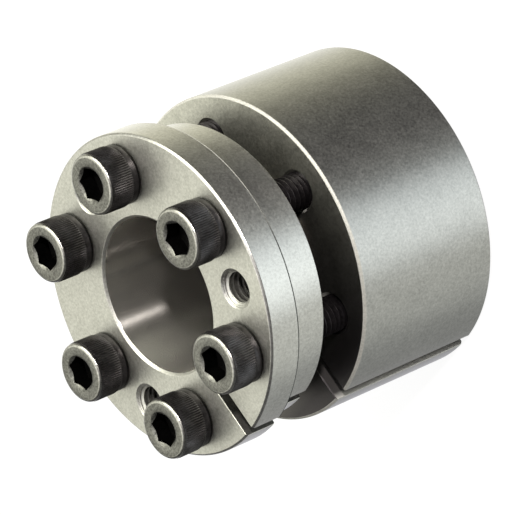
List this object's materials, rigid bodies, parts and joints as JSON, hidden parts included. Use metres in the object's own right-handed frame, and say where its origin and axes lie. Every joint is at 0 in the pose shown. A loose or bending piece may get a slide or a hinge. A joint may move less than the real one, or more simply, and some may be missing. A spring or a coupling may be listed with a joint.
{
  "type": "keyless locking assembly",
  "caption": "Split tapered inner ring with a flange, spacer ring and tapered outer ring, drawn together by socket cap screws to lock a hub on a plain round shaft.",
  "frame": {"origin": "centre of the outer ring's rear face, on which the assembly stands", "axes": "+Z along the shaft axis towards the screw heads, -Y through the saw slits of the rings"},
  "size_m": [0.055, 0.055, 0.0539],
  "materials": {
    "ring_steel": "satin machined steel",
    "screw_steel": "black oxide"
  },
  "bodies": {
    "outer": {"outer_ring": "ring_steel"},
    "inner": {"inner_ring": "ring_steel", "spacer_ring": "ring_steel"},
    "screw_1": {"clamp_screw_1": "screw_steel"},
    "screw_2": {"clamp_screw_2": "screw_steel"},
    "screw_3": {"clamp_screw_3": "screw_steel"},
    "screw_4": {"clamp_screw_4": "screw_steel"},
    "screw_5": {"clamp_screw_5": "screw_steel"},
    "screw_6": {"clamp_screw_6": "screw_steel"}
  },
  "joints": [
    {"name": "clamp_slide", "type": "slide", "parent": "outer", "child": "inner", "axis": [0, 0, -1], "range_m": [0, 0.003]},
    {"name": "screw_1_turn", "type": "hinge", "parent": "inner", "child": "screw_1", "pos_m": [0.0203, 0, 0.0477], "axis": [0, 0, -1], "range_deg": [0, 1081]},
    {"name": "screw_2_turn", "type": "hinge", "parent": "inner", "child": "screw_2", "pos_m": [0.01015, 0.01758, 0.0477], "axis": [0, 0, -1], "range_deg": [0, 1081]},
    {"name": "screw_3_turn", "type": "hinge", "parent": "inner", "child": "screw_3", "pos_m": [-0.01015, 0.01758, 0.0477], "axis": [0, 0, -1], "range_deg": [0, 1081]},
    {"name": "screw_4_turn", "type": "hinge", "parent": "inner", "child": "screw_4", "pos_m": [-0.0203, 0, 0.0477], "axis": [0, 0, -1], "range_deg": [0, 1081]},
    {"name": "screw_5_turn", "type": "hinge", "parent": "inner", "child": "screw_5", "pos_m": [-0.01015, -0.01758, 0.0477], "axis": [0, 0, -1], "range_deg": [0, 1081]},
    {"name": "screw_6_turn", "type": "hinge", "parent": "inner", "child": "screw_6", "pos_m": [0.01015, -0.01758, 0.0477], "axis": [0, 0, -1], "range_deg": [0, 1081]}
  ],
  "couplings": [
    {"joint": "screw_1_turn", "follows": "clamp_slide", "rad_per_m": 6283.2},
    {"joint": "screw_2_turn", "follows": "clamp_slide", "rad_per_m": 6283.2},
    {"joint": "screw_3_turn", "follows": "clamp_slide", "rad_per_m": 6283.2},
    {"joint": "screw_4_turn", "follows": "clamp_slide", "rad_per_m": 6283.2},
    {"joint": "screw_5_turn", "follows": "clamp_slide", "rad_per_m": 6283.2},
    {"joint": "screw_6_turn", "follows": "clamp_slide", "rad_per_m": 6283.2}
  ]
}
